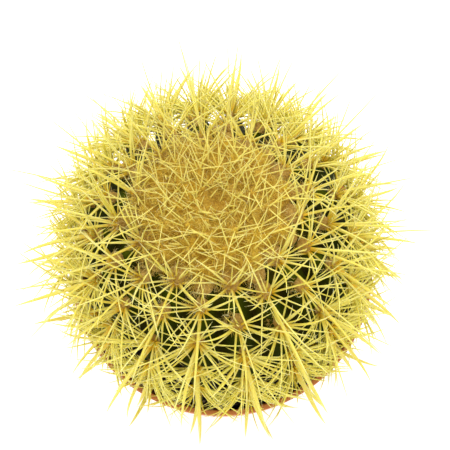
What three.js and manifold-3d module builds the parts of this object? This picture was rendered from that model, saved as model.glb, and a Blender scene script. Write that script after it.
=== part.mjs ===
// A young golden barrel cactus in a terracotta-coloured plastic grower's pot.
//
// Millimetres, +Z up. The origin is the centre of the pot's flat underside, on the surface that it stands on.
// -Y is the front, the side that is seen when the plant is looked down on.
//
// Four pieces: the thin-walled pot, the soil in it, the ribbed body with its areoles and their spines, and the
// cap of wool on the crown with the young spines that stand in it.
import * as THREE from "three";
import { mergeVertices } from "three/addons/utils/BufferGeometryUtils.js";
import Module from "manifold-3d";

// Driving dimensions
const potHeight = 108;
const potRimRadius = 70;
const potBaseRadius = 49;
const potWall = 1.4;
const potFloor = 2;
const collarHeight = 15;
const collarStep = 1.8;
const drainCount = 8;
const drainRadius = 4.5;
const drainRingRadius = 35;
const drainGrooveDepth = 1;
const drainGrooveWidth = 5;

const soilDepthBelowRim = 9;
const fitGap = 0.35;

const bodyRadius = 61;
const bodyHalfHeight = 53;
const bodyCentreAboveRim = 16.6;
const ribCount = 20;
const ribDepth = 9.5;
const firstRibAngle = -97.5;
const ribSwayAngle = 3.6;
const ribSwayPhase = 85;
const crownRadius = 30;
const crownDish = 5;
const plantLean = 2.2;

const areoleSpacing = 14.2;
const highestAreoleEven = 53;
const highestAreoleOdd = 60.4;
const lowestAreole = -14;
const areolePadRadius = 2.6;
const areolePadLift = 0.3;

const spineSpacing = 2.4;
const spineTries = 14;
const spineBow = 0.06;
const stoutMiddleWidth = 0.62;

const woolThickness = 4.4;
const woolEdgeThickness = 0.5;
const woolEdgeRadius = 28;
const woolEdgeWave = 2;
const woolMoundHeight = 2.2;
const woolMoundRing = 26;
const woolMoundSpacing = 12.6;
const crownSpineCount = 130;
const crownSpineWidth = 1.1;

const aroundSegments = 48;
const columnsPerRib = 4;

// Levels that follow from them
const soilLevel = potHeight - soilDepthBelowRim;
const bodyCentre = potHeight + bodyCentreAboveRim;
const goldenAngle = 180 * (3 - Math.sqrt(5));

const wasm = await Module();
wasm.setup();

const sinDeg = (degrees) => Math.sin(THREE.MathUtils.degToRad(degrees));
const cosDeg = (degrees) => Math.cos(THREE.MathUtils.degToRad(degrees));

// A fixed pseudo-random number from 0 to 1 for a whole-number seed.
function chance(seed) {
  const wave = Math.sin(seed * 12.9898 + 4.137) * 43758.5453;
  return wave - Math.floor(wave);
}

// The same, from -spread to +spread.
const jitter = (seed, spread) => (2 * chance(seed) - 1) * spread;

// Joining and cutting

function solidOf(geometry) {
  const bare = geometry.clone();
  bare.deleteAttribute("normal");
  bare.deleteAttribute("uv");
  const merged = mergeVertices(bare, 1e-4);
  return new wasm.Manifold(
    new wasm.Mesh({
      numProp: 3,
      vertProperties: new Float32Array(merged.attributes.position.array),
      triVerts: new Uint32Array(merged.index.array),
    }),
  );
}

function geometryOf(solid) {
  const mesh = solid.getMesh();
  const geometry = new THREE.BufferGeometry();
  geometry.setAttribute("position", new THREE.BufferAttribute(new Float32Array(mesh.vertProperties), 3));
  geometry.setIndex(new THREE.BufferAttribute(new Uint32Array(mesh.triVerts), 1));
  geometry.computeVertexNormals();
  return geometry;
}

// A closed surface from points and triangles given as corner indices.
function geometryFrom(points, triangles) {
  const geometry = new THREE.BufferGeometry();
  geometry.setAttribute("position", new THREE.Float32BufferAttribute(points.flatMap((p) => [p.x, p.y, p.z]), 3));
  geometry.setIndex(triangles.flat());
  return geometry;
}

// Joins rings of points, listed from the bottom up and each turning the same way, into a closed surface with a
// single point at each end. The rings may differ in their number of points if one is a multiple of the other.
function geometryFromRings(bottom, rings, top) {
  const points = [bottom, ...rings.flat(), top];
  const triangles = [];
  const starts = rings.map((ring, i) => 1 + rings.slice(0, i).reduce((sum, r) => sum + r.length, 0));
  const around = (start, count, i) => start + ((i % count) + count) % count;
  const first = rings[0].length;
  for (let i = 0; i < first; i++) triangles.push([0, around(1, first, i + 1), around(1, first, i)]);
  for (let row = 0; row + 1 < rings.length; row++) {
    const [a, b] = [starts[row], starts[row + 1]];
    const [countA, countB] = [rings[row].length, rings[row + 1].length];
    const fine = Math.max(countA, countB);
    for (let i = 0; i < fine; i++) {
      const lowHere = around(a, countA, Math.floor((i * countA) / fine));
      const lowNext = around(a, countA, Math.floor(((i + 1) * countA) / fine));
      const highHere = around(b, countB, Math.floor((i * countB) / fine));
      const highNext = around(b, countB, Math.floor(((i + 1) * countB) / fine));
      if (lowHere !== lowNext) triangles.push([lowHere, lowNext, highNext]);
      if (highHere !== highNext) triangles.push([lowHere, highNext, highHere]);
    }
  }
  const last = rings.length - 1;
  const [lastStart, lastCount] = [starts[last], rings[last].length];
  for (let i = 0; i < lastCount; i++) {
    triangles.push([points.length - 1, around(lastStart, lastCount, i), around(lastStart, lastCount, i + 1)]);
  }
  return geometryFrom(points, triangles);
}

// The pot

function potGeometry() {
  const collarBottom = potHeight - collarHeight;
  const wallTop = potRimRadius - collarStep;
  const outline = [
    [0, 0],
    [potBaseRadius - 2, 0],
    [potBaseRadius, 2],
    [wallTop - 1, collarBottom - 2],
    [potRimRadius - 0.6, collarBottom],
    [potRimRadius, potHeight - 1],
    [potRimRadius - 0.5, potHeight],
    [potRimRadius - 0.5 - potWall, potHeight],
    [potRimRadius - 1 - potWall, potHeight - 1],
    [wallTop - 1 - potWall, collarBottom - 3],
    [potBaseRadius - potWall, potFloor + 1],
    [potBaseRadius - potWall - 2, potFloor],
    [0, potFloor],
  ].map(([radius, height]) => new THREE.Vector2(radius, height));
  const shell = new THREE.LatheGeometry(outline, aroundSegments);
  shell.rotateX(Math.PI / 2);
  let pot = solidOf(shell);
  for (let i = 0; i < drainCount; i++) {
    const turn = (i + 0.5) * ((2 * Math.PI) / drainCount);
    const hole = new THREE.CylinderGeometry(drainRadius, drainRadius, 3 * potFloor, 10);
    hole.rotateX(Math.PI / 2);
    hole.translate(drainRingRadius, 0, 0);
    hole.rotateZ(turn);
    const grooveLength = potBaseRadius - drainRingRadius + 4;
    const groove = new THREE.BoxGeometry(grooveLength, drainGrooveWidth, 2 * drainGrooveDepth);
    groove.translate(drainRingRadius + grooveLength / 2, 0, 0);
    groove.rotateZ(turn);
    pot = pot.subtract(solidOf(hole)).subtract(solidOf(groove));
  }
  return geometryOf(pot);
}

// The body

// How far the plant stands aside at a height. It is made upright and then leaned over, a little to the left.
const asideAt = (height) =>
  (-plantLean * Math.max(0, height - soilLevel)) / (bodyCentre + bodyHalfHeight - soilLevel);

const leaned = (solid) =>
  solid.warp((corner) => {
    corner[0] += asideAt(corner[2]);
  });

// The smooth envelope that the rib crests lie on, by a latitude of -90 to 90 degrees: its radius and height.
function envelope(latitude) {
  const radius = bodyRadius * cosDeg(latitude);
  const towardsCentre = latitude > 0 ? Math.max(0, 1 - radius / crownRadius) : 0;
  return { radius, height: bodyCentre + bodyHalfHeight * sinDeg(latitude) - crownDish * towardsCentre ** 1.5 };
}

// How deep the grooves are at a latitude: none under the wool, and fading out below the soil.
function grooveDepth(latitude) {
  const radius = bodyRadius * cosDeg(latitude);
  const fromCrown = THREE.MathUtils.smoothstep(radius, crownRadius + 1, crownRadius + 22);
  const fromBase = THREE.MathUtils.smoothstep(latitude, -66, -34);
  return ribDepth * (latitude > 0 ? fromCrown : fromBase);
}

// The ribs are a little closer together on one side of the plant than on the other.
function ribAngle(rib) {
  const even = firstRibAngle + (rib * 360) / ribCount;
  return even + ribSwayAngle * sinDeg(even + ribSwayPhase);
}

// A point on the body: the rib number may have a fraction, and a half lies in the groove.
function bodyPoint(rib, latitude, grow) {
  const { radius, height } = envelope(latitude);
  const fromCrest = 2 * Math.abs(rib - Math.round(rib));
  const sunk = grooveDepth(latitude) * fromCrest ** 1.25;
  const angle = ribAngle(rib);
  const reach = Math.max(radius - sunk + grow, 1);
  return new THREE.Vector3(reach * cosDeg(angle), reach * sinDeg(angle), height + grow * sinDeg(latitude));
}

const bodyLatitudes = [-66, -52, -40, -29, -18, -7, 4, 15, 26, 36, 45, 53, 60];

// The ribbed body down to its root collar, with a short tap root below it. Grown, it cuts the hole in the soil.
function bodyCore(grow) {
  const columns = ribCount * columnsPerRib;
  const rings = bodyLatitudes.map((latitude) =>
    Array.from({ length: columns }, (_, i) => bodyPoint(i / columnsPerRib, latitude, grow)),
  );
  const rootRing = (radius, height) =>
    Array.from({ length: ribCount }, (_, i) => {
      const angle = ribAngle(i);
      return new THREE.Vector3((radius + grow) * cosDeg(angle), (radius + grow) * sinDeg(angle), height);
    });
  const collar = bodyCentre - bodyHalfHeight;
  const roots = [rootRing(3, collar - 24), rootRing(7, collar - 6), rootRing(11, collar + 1)];
  const top = new THREE.Vector3(0, 0, envelope(90).height + grow);
  const tip = new THREE.Vector3(0, 0, collar - 34 - grow);
  const upper = [70, 79].map((latitude) =>
    Array.from({ length: columns / 2 }, (_, i) => bodyPoint((2 * i) / columnsPerRib, latitude, grow)),
  );
  return solidOf(geometryFromRings(tip, [...roots, ...rings, ...upper], top));
}

// Spines

// Every part of a spine stays clear of the pot, the soil and the wool.
function isClear({ x, y, z }) {
  const fromAxis = Math.hypot(x + asideAt(z), y);
  const inWall = fromAxis > potRimRadius - 4.5 && fromAxis < potRimRadius + 1.5 && z < potHeight + 1.5;
  const inSoil = fromAxis < potRimRadius && z < soilLevel + 2;
  const inWool = Math.hypot(x, y) < woolEdge(x, y) + 1.5 && z < woolTop(x, y) + 1.5;
  return !inWall && !inSoil && !inWool;
}

// A spine as two straight lines. It leaves along its direction and bows a little towards the bend.
function spineCourse(root, direction, length, bend) {
  const rise = length * spineBow;
  const middle = root.clone().addScaledVector(direction, length * 0.5).addScaledVector(bend, rise);
  const tip = root.clone().addScaledVector(direction, length).addScaledVector(bend, -0.67 * rise);
  return [new THREE.Line3(root, middle), new THREE.Line3(middle, tip)];
}

const courseIsClear = (course) =>
  course.every((line) => [0.25, 0.5, 0.75, 1].every((share) => isClear(line.at(share, new THREE.Vector3()))));

// The least distance between a spine and the ones already there.
function roomAround(course, others) {
  let least = Infinity;
  for (const line of course) {
    for (const other of others) {
      if (line.end.distanceToSquared(other.end) > 70 ** 2) continue;
      least = Math.min(least, Math.sqrt(line.distanceSqToLine3(other)));
    }
  }
  return least;
}

// Tries a few courses, each further from the one wanted, and keeps the first with room or else the roomiest.
function roomiest(courseOfTry, others) {
  let found = null;
  let most = 0;
  for (let n = 0; n < spineTries && most <= spineSpacing; n++) {
    const course = courseOfTry(n);
    const room = courseIsClear(course) ? roomAround(course, others) : 0;
    if (room > most) {
      found = course;
      most = room;
    }
  }
  return found;
}

// The spines of an areole: a stout one down the rib, an arched one to each side, three towards the crown and a
// low pair. Turn is measured about the outward normal from the side towards the crown; lean is from the normal.
const spinePlan = [
  { turn: 180, lean: 52, share: 1 },
  { turn: 102, lean: 60, share: 0.84 },
  { turn: -102, lean: 60, share: 0.84 },
  { turn: 0, lean: 42, share: 0.7 },
  { turn: 48, lean: 50, share: 0.66 },
  { turn: -48, lean: 50, share: 0.66 },
  { turn: 146, lean: 68, share: 0.6 },
  { turn: -146, lean: 68, share: 0.6 },
];

// The longest spine of an areole. Old areoles, lower down, have shorter ones, and so have the youngest. Those on
// the left and right are a little longer than those in front and behind.
function longestSpine({ rib, latitude }) {
  const young = 1 - 0.25 * THREE.MathUtils.smoothstep(latitude, 54, 59);
  return (27.4 + 0.07 * latitude) * young * (1 + 0.05 * cosDeg(2 * ribAngle(rib)));
}

function areolePlaces() {
  const places = [];
  for (let rib = 0; rib < ribCount; rib++) {
    let latitude = rib % 2 ? highestAreoleOdd : highestAreoleEven;
    for (let k = 0; latitude > lowestAreole; k++) {
      const seed = rib * 16 + k;
      places.push({ rib, latitude: latitude + jitter(seed, 0.9), seed });
      latitude -= areoleSpacing;
    }
  }
  return places;
}

// The frame of an areole on its rib: x towards the crown, y to the side and z outwards.
function areoleFrame({ rib, latitude }) {
  const angle = ribAngle(rib);
  const { radius, height } = envelope(latitude);
  const steep = Math.atan2(sinDeg(latitude) / bodyHalfHeight, cosDeg(latitude) / bodyRadius);
  const outward = new THREE.Vector3(cosDeg(angle), sinDeg(angle), 0);
  const normal = outward.clone().multiplyScalar(Math.cos(steep)).setZ(Math.sin(steep));
  const crownward = outward.clone().multiplyScalar(-Math.sin(steep)).setZ(Math.cos(steep));
  const sideways = new THREE.Vector3().crossVectors(normal, crownward);
  const centre = outward.multiplyScalar(radius).setZ(height).addScaledVector(normal, areolePadLift);
  return new THREE.Matrix4().makeBasis(crownward, sideways, normal).setPosition(centre);
}

// A pad of twenty facets, with a corner on top and one of the five top facets pointing down the rib.
function padFacets() {
  const pad = new THREE.IcosahedronGeometry(areolePadRadius, 0);
  pad.deleteAttribute("normal");
  pad.deleteAttribute("uv");
  const corner = new THREE.Vector3().fromBufferAttribute(pad.attributes.position, 0).normalize();
  pad.applyQuaternion(new THREE.Quaternion().setFromUnitVectors(corner, new THREE.Vector3(0, 0, 1)));
  const merged = mergeVertices(pad, 1e-4);
  const corners = Array.from({ length: merged.attributes.position.count }, (_, i) =>
    new THREE.Vector3().fromBufferAttribute(merged.attributes.position, i),
  );
  const facets = Array.from({ length: merged.index.count / 3 }, (_, i) => [
    ...merged.index.array.slice(3 * i, 3 * i + 3),
  ]);
  const middleOf = ([a, b, c]) => corners[a].clone().add(corners[b]).add(corners[c]);
  const upper = middleOf(facets.find((facet) => middleOf(facet).z > 1.5 * areolePadRadius));
  const turn = Math.PI - Math.atan2(upper.y, upper.x);
  for (const point of corners) point.applyAxisAngle(new THREE.Vector3(0, 0, 1), turn);
  return { corners, facets, middles: facets.map((facet) => middleOf(facet).divideScalar(3)) };
}

const pad = padFacets();

// A direction in an areole's frame.
const directionOf = (turn, lean) =>
  new THREE.Vector3(sinDeg(lean) * cosDeg(turn), sinDeg(lean) * sinDeg(turn), cosDeg(lean));

// Gives each spine of an areole a facet of the pad to grow from and a course that has room.
function growSpines(areole, others) {
  const frame = areoleFrame(areole);
  const { seed } = areole;
  const longest = longestSpine(areole) * (1 + jitter(seed + 1000, 0.06));
  const normal = new THREE.Vector3(0, 0, 1).transformDirection(frame);
  const upwards = new THREE.Vector3(0, 0, 1);
  const spines = new Map();
  for (const [n, { turn, lean, share }] of spinePlan.entries()) {
    const key = seed * 10 + n;
    const stout = share === 1;
    const seat = directionOf(turn, Math.min(lean, 64)).multiplyScalar(areolePadRadius * 0.62);
    const root = seat.clone().applyMatrix4(frame);
    const length = longest * share * (1 + jitter(key + 6017, stout ? 0.12 : 0.22));
    const course = roomiest((tried) => {
      const turned = turn + jitter(key + 2000 + 3000 * tried, 15 + 2 * tried);
      const leaned = lean + jitter(key + 2500 + 3000 * tried, 10 + 1.5 * tried);
      const direction = directionOf(turned, leaned).transformDirection(frame);
      return spineCourse(root, direction.addScaledVector(upwards, 0.08 * tried).normalize(), length, normal);
    }, others);
    if (!course) continue;
    const nearness = (i) => pad.middles[i].dot(seat);
    const free = pad.facets.map((_, i) => i).filter((i) => !spines.has(i));
    const facet = free.reduce((best, i) => (nearness(i) > nearness(best) ? i : best));
    spines.set(facet, { course, stout });
  }
  return { frame, spines };
}

// The pad sunk in the rib's crest, with the facets that spines grow from drawn out to their tips.
function areoleSolid({ frame, spines }) {
  const points = pad.corners.map((point) => point.clone().applyMatrix4(frame));
  const triangles = [];
  for (const [i, facet] of pad.facets.entries()) {
    const spine = spines.get(i);
    if (!spine) {
      triangles.push(facet);
      continue;
    }
    const [lower, upper] = spine.course;
    const seat = pad.middles[i].clone().applyMatrix4(frame);
    let ring = facet;
    if (spine.stout) {
      ring = facet.map((corner) => {
        points.push(points[corner].clone().sub(seat).multiplyScalar(stoutMiddleWidth).add(lower.end));
        return points.length - 1;
      });
      for (let k = 0; k < 3; k++) {
        const next = (k + 1) % 3;
        triangles.push([facet[k], facet[next], ring[next]], [facet[k], ring[next], ring[k]]);
      }
    }
    points.push(upper.end);
    for (let k = 0; k < 3; k++) triangles.push([ring[k], ring[(k + 1) % 3], points.length - 1]);
  }
  return solidOf(geometryFrom(points, triangles));
}

// The crown

// The number of the rib, with a fraction, that a direction seen from above falls on.
function ribNumber(x, y) {
  const angle = THREE.MathUtils.radToDeg(Math.atan2(y, x));
  const swayed = ribSwayAngle * sinDeg(angle + ribSwayPhase);
  return ((angle - swayed - firstRibAngle) * ribCount) / 360;
}

// The wool reaches further out on every second rib, between the highest areoles of the others.
const woolEdge = (x, y) => woolEdgeRadius + woolEdgeWave * cosDeg(180 * ribNumber(x, y));

const latitudeAt = (radius) => THREE.MathUtils.radToDeg(Math.acos(Math.min(1, radius / bodyRadius)));

// The top of the wool, raised in a mound over each young areole hidden in it.
function woolTop(x, y) {
  const radius = Math.hypot(x, y);
  const share = Math.min(1, radius / woolEdge(x, y));
  const lattice =
    cosDeg((360 * (radius - woolMoundRing)) / woolMoundSpacing) * cosDeg(180 * ribNumber(x, y));
  const mound = woolMoundHeight * 0.5 * (1 + lattice) * THREE.MathUtils.smoothstep(radius, 2, 16);
  const thick = (woolThickness * (1 - 0.45 * share ** 2) + mound) * Math.sqrt(1 - share ** 10);
  return envelope(latitudeAt(radius)).height + fitGap + woolEdgeThickness + thick;
}

function woolSolid() {
  const columns = 2 * ribCount;
  const ring = (radiusAt, heightAt) =>
    Array.from({ length: columns }, (_, i) => {
      const angle = ribAngle((i * ribCount) / columns);
      const radius = radiusAt(woolEdge(cosDeg(angle), sinDeg(angle)));
      const [x, y] = [radius * cosDeg(angle), radius * sinDeg(angle)];
      return new THREE.Vector3(x, y, heightAt(x, y));
    });
  const under = (x, y) => envelope(latitudeAt(Math.hypot(x, y))).height + fitGap;
  // The underside follows the body's own facets, which the crown's rings share.
  const bodyRings = [79, 70].map((latitude) => bodyRadius * cosDeg(latitude));
  const rings = [
    ...bodyRings.map((radius) => ring(() => radius, under)),
    ring((edge) => edge, under),
    ...[1, 0.97, 0.88, 0.76, 0.63, 0.5, 0.36, 0.2].map((share) => ring((edge) => edge * share, woolTop)),
  ];
  return geometryFromRings(
    new THREE.Vector3(0, 0, envelope(90).height + fitGap),
    rings,
    new THREE.Vector3(0, 0, woolTop(0, 0)),
  );
}

// A three-sided needle with its root sunk below the point given.
function needleSolid(line, width) {
  const length = line.distance();
  const needle = new THREE.ConeGeometry(width / 2, length + 2.4, 3);
  needle.translate(0, length / 2 - 1.2, 0);
  const direction = line.delta(new THREE.Vector3()).normalize();
  needle.applyQuaternion(new THREE.Quaternion().setFromUnitVectors(new THREE.Vector3(0, 1, 0), direction));
  needle.translate(line.start.x, line.start.y, line.start.z);
  return solidOf(needle);
}

// Young spines stand in the wool in the spiral order of the areoles, short in the middle and longer outwards.
function growCrownSpines(others) {
  const grown = [];
  for (let i = 0; i < crownSpineCount; i++) {
    const share = Math.sqrt((i + 0.5) / crownSpineCount);
    const angle = i * goldenAngle;
    const radius = (woolEdge(cosDeg(angle), sinDeg(angle)) - 1.5) * share;
    const root = new THREE.Vector3(radius * cosDeg(angle), radius * sinDeg(angle), 0);
    root.z = woolTop(root.x, root.y) - 0.6;
    const length = 7 + 8 * share + 14 * share * chance(i + 8000) ** 3;
    let found = null;
    for (let tried = 0; tried < spineTries && !found; tried++) {
      const lean = 12 + chance(i + 8200 + 500 * tried) * 50;
      const turn = 360 * chance(i + 8400 + 500 * tried);
      const direction = directionOf(turn, lean);
      const line = new THREE.Line3(root, root.clone().addScaledVector(direction, length));
      const beyondRoot = new THREE.Line3(root.clone().addScaledVector(direction, 4), line.end);
      const isFree = courseIsClear([beyondRoot]) && roomAround([line], [...others, ...grown]) > spineSpacing * 0.8;
      if (isFree) found = line;
    }
    if (found) grown.push(found);
  }
  return grown;
}

// The soil

function soilGeometry() {
  const wallTop = potRimRadius - collarStep - 1 - potWall;
  const wallShare = (soilLevel - potFloor) / (potHeight - collarHeight - 3 - potFloor);
  const topRadius = THREE.MathUtils.lerp(potBaseRadius - potWall, wallTop, Math.min(1, wallShare)) - 0.2;
  const ring = (radius, heightAt) =>
    Array.from({ length: aroundSegments }, (_, i) => {
      const angle = -90 + (i * 360) / aroundSegments;
      return new THREE.Vector3(radius * cosDeg(angle), radius * sinDeg(angle), heightAt(i));
    });
  const crumbs = (row) => (i) => soilLevel + jitter(row * 100 + i + 9000, 0.7);
  const rings = [
    ring(potBaseRadius - potWall - 3, () => potFloor + fitGap),
    ring(potBaseRadius - potWall - fitGap, () => potFloor + 1 + fitGap),
    ring(wallTop - fitGap, () => potHeight - collarHeight - 3),
    ring(topRadius - fitGap, crumbs(1)),
    ring(topRadius - 5, crumbs(2)),
    ring(topRadius - 10, crumbs(3)),
    ring(40, () => soilLevel),
  ];
  const plug = solidOf(
    geometryFromRings(new THREE.Vector3(0, 0, potFloor + fitGap), rings, new THREE.Vector3(0, 0, soilLevel)),
  );
  return geometryOf(plug.subtract(bodyCore(fitGap)));
}

// The model

const areoles = [];
for (const place of areolePlaces()) {
  const others = areoles.flatMap(({ spines }) => [...spines.values()].flatMap(({ course }) => course));
  areoles.push(growSpines(place, others));
}
const spineLines = areoles.flatMap(({ spines }) => [...spines.values()].flatMap(({ course }) => course));

function bodyGeometry() {
  return geometryOf(leaned(wasm.Manifold.union([bodyCore(0), ...areoles.map(areoleSolid)])));
}

function crownGeometry() {
  const needles = growCrownSpines(spineLines).map((line) => needleSolid(line, crownSpineWidth));
  return geometryOf(leaned(wasm.Manifold.union([solidOf(woolSolid()), ...needles])));
}

function piece(name, geometry, colour, roughness) {
  const material = new THREE.MeshStandardMaterial({ color: colour, roughness, metalness: 0, flatShading: true });
  const mesh = new THREE.Mesh(geometry, material);
  mesh.name = name;
  return mesh;
}

const plant = new THREE.Group();
plant.add(
  piece("pot", potGeometry(), 0xc06a35, 0.5),
  piece("soil", soilGeometry(), 0x2c211a, 1),
  piece("cactus_body", bodyGeometry(), 0x3d5a34, 0.6),
  piece("crown_wool", crownGeometry(), 0xcfae55, 0.95),
);

export default plant;
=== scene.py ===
import math

import bpy
import numpy as np
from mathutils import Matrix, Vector, noise


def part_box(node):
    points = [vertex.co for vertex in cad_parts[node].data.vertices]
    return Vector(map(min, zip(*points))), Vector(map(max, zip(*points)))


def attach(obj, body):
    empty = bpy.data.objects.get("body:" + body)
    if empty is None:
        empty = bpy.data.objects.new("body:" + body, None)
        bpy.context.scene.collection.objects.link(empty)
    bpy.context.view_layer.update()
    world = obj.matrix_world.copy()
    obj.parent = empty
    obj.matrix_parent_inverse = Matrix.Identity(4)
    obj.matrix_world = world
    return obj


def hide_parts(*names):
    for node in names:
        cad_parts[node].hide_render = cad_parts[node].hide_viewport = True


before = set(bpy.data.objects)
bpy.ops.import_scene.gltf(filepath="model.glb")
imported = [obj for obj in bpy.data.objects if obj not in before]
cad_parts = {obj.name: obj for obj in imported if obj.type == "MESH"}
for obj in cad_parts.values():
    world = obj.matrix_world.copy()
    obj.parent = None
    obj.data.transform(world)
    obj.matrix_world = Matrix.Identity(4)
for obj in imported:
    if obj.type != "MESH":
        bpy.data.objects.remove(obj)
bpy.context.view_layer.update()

# A potted round cactus: terracotta-coloured pot, dark soil, ribbed body, woolly crown and yellow spines.
# Sizes are in millimetres until a mesh is made. The part stands on z = 0 and -Y is its front.
mm = 0.001

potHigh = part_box("pot")[1]
rimHeight = potHigh.z / mm
rimRadius = potHigh.x / mm
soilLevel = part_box("soil")[1].z / mm - 0.7  # the crumbs of the plug stand up to 0.7 over its level

plant = {
    "radius": 61,
    "halfHeight": 53,
    "centreAboveRim": 16.6,
    "ribs": 20,
    "ribDepth": 9.5,
    "firstRib": -97.5,
    "ribSway": 3.6,  # degrees that a rib stands off an even spacing
    "swayPhase": 85,
    "crownRadius": 30,
    "crownDish": 5,
    "grooveStart": (1, 22),  # how far outside the crown the grooves begin and how far out they are full
    "grooveEnd": (-66, -34),  # latitudes that they run out between, over the root collar
    "lean": 2.2,  # how far its top stands to the left of the pot's axis
    "leaningNodes": {"cactus_body", "crown_wool"},
}
plantCentre = rimHeight + plant["centreAboveRim"]


def sinDeg(angle):
    return math.sin(math.radians(angle))


def cosDeg(angle):
    return math.cos(math.radians(angle))


def onCircle(radius, angle):
    return radius * cosDeg(angle), radius * sinDeg(angle)


def smoothStep(value, low, high):
    share = min(1, max(0, (value - low) / (high - low)))
    return share * share * (3 - 2 * share)


# the same fixed draw as the solids use, so spines stand where theirs do
def chance(seed):
    wave = math.sin(seed * 12.9898 + 4.137) * 43758.5453
    return wave - math.floor(wave)


def jitter(seed, spread):
    return (2 * chance(seed) - 1) * spread


# how far the plant stands aside at a height: it is made upright and then leaned over
def asideAt(height):
    wholeRise = plantCentre + plant["halfHeight"] - soilLevel
    return -plant["lean"] * np.maximum(0, height - soilLevel) / wholeRise


# the globe that the rib crests lie on
def envelope(latitude):
    radius = plant["radius"] * cosDeg(latitude)
    inward = max(0, 1 - radius / plant["crownRadius"]) if latitude > 0 else 0
    height = plantCentre + plant["halfHeight"] * sinDeg(latitude) - plant["crownDish"] * inward ** 1.5
    return radius, height


# its height over a place on the crown
def crownHeight(x, y):
    latitude = math.degrees(math.acos(min(1, math.hypot(x, y) / plant["radius"])))
    return envelope(latitude)[1]


def grooveDepth(latitude):
    radius = plant["radius"] * cosDeg(latitude)
    if latitude > 0:
        begin, full = (plant["crownRadius"] + outside for outside in plant["grooveStart"])
        return plant["ribDepth"] * smoothStep(radius, begin, full)
    return plant["ribDepth"] * smoothStep(latitude, *plant["grooveEnd"])


def ribAngle(rib):
    even = plant["firstRib"] + rib * 360 / plant["ribs"]
    return even + plant["ribSway"] * sinDeg(even + plant["swayPhase"])


# the number of the rib, with a fraction, that a direction seen from above falls on
def ribNumber(x, y):
    angle = math.degrees(math.atan2(y, x))
    swayed = plant["ribSway"] * sinDeg(angle + plant["swayPhase"])
    return (angle - swayed - plant["firstRib"]) * plant["ribs"] / 360


# a rough surface's rise at a place; layer picks the noise and grain how fine it is
def roughAt(x, y, layer, grain, fade, step):
    return noise.fractal(Vector((x, y, layer)) * grain, fade, step, 4)


# Meshes and pieces

def addObject(name, content):
    made = bpy.data.objects.new(name, content)
    bpy.context.scene.collection.objects.link(made)
    return made


def makeMesh(name, points, faces=(), edges=()):
    mesh = bpy.data.meshes.new(name)
    mesh.from_pydata((np.asarray(points, float) * mm).tolist(), edges, faces)
    mesh.validate()
    mesh.shade_smooth()
    return addObject(name, mesh)


# the faces between closed rows of that many points; start is the number of the first point
def bandFaces(rows, count, start=0):
    faces = []
    for row in range(rows - 1):
        a, b = start + row * count, start + (row + 1) * count
        faces += [(a + i, a + (i + 1) % count, b + (i + 1) % count, b + i) for i in range(count)]
    return faces


# a closed surface of rings with a point at each end
def ringsMesh(name, bottom, rings, top):
    points = [bottom] + [point for ring in rings for point in ring] + [top]
    count = len(rings[0])
    last = 1 + (len(rings) - 1) * count
    faces = [(0, 1 + (i + 1) % count, 1 + i) for i in range(count)]
    faces += bandFaces(len(rings), count, 1)
    faces += [(len(points) - 1, last + i, last + (i + 1) % count) for i in range(count)]
    return makeMesh(name, points, faces)


# keeps a list of numbers or of vectors, one for each point, under each name
def setAttributes(piece, **lists):
    for name, values in lists.items():
        table = np.asarray(values, np.float32)
        kind, field = ("FLOAT", "value") if table.ndim == 1 else ("FLOAT_VECTOR", "vector")
        piece.data.attributes.new(name, kind, "POINT").data.foreach_set(field, table.ravel())


# keeps what a source object shows as a plain mesh of that name
def keepShown(name, source):
    mesh = bpy.data.meshes.new_from_object(source.evaluated_get(bpy.context.evaluated_depsgraph_get()))
    source.modifiers.clear()
    mesh.name = name
    return addObject(name, mesh)


def dropObject(thing):
    mesh = thing.data
    bpy.data.objects.remove(thing)
    bpy.data.meshes.remove(mesh)


def leanOver(piece):
    places = np.empty((len(piece.data.vertices), 3), np.float32)
    piece.data.vertices.foreach_get("co", places.ravel())
    places[:, 0] += asideAt(places[:, 2] / mm) * mm
    piece.data.vertices.foreach_set("co", places.ravel())
    piece.data.update()


def dress(piece, node):
    if node in plant["leaningNodes"]:
        leanOver(piece)
    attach(piece, "root")
    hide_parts(node)
    print(piece.name, len(piece.data.polygons), "faces")


# runs a tree on a source object and keeps the result as a piece
def growPiece(name, source, tree, node, values):
    modifier = source.modifiers.new("grow", "NODES")
    modifier.node_group = tree
    for item in tree.interface.items_tree:
        if item.in_out == "INPUT" and item.name in values:
            modifier[item.identifier] = values[item.name]
    piece = keepShown(name, source)
    dress(piece, node)
    return piece


# Node trees

def newTree(name, kind, inputs, outputs):
    tree = bpy.data.node_groups.new(name, kind)
    for way, sockets in [("INPUT", inputs), ("OUTPUT", outputs)]:
        for label, socket in sockets.items():
            tree.interface.new_socket(name=label, in_out=way, socket_type="NodeSocket" + socket)
    return tree, tree.nodes.new("NodeGroupInput").outputs, tree.nodes.new("NodeGroupOutput").inputs


def newGeometryTree(name, inputs):
    return newTree(name, "GeometryNodeTree", {"Geometry": "Geometry", **inputs}, {"Geometry": "Geometry"})


# fills sockets with plain values or links; a node stands for its first output
def fillSockets(tree, node, values):
    for key, value in values.items():
        if isinstance(value, bpy.types.Node):
            value = value.outputs[0]
        if isinstance(value, bpy.types.NodeSocket):
            tree.links.new(value, node.inputs[key])
        else:
            node.inputs[key].default_value = value


def addNode(tree, kind, sockets=None, **settings):
    node = tree.nodes.new(kind)
    for key, value in settings.items():
        setattr(node, key, value)
    fillSockets(tree, node, sockets or {})
    return node


def maths(tree, operation, *values):
    return addNode(tree, "ShaderNodeMath", dict(enumerate(values)), operation=operation)


def times(tree, first, second):
    return maths(tree, "MULTIPLY", first, second)


def minus(tree, first, second):
    return maths(tree, "SUBTRACT", first, second)


def vectorMaths(tree, operation, *values):
    return addNode(tree, "ShaderNodeVectorMath", dict(enumerate(values)), operation=operation)


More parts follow.
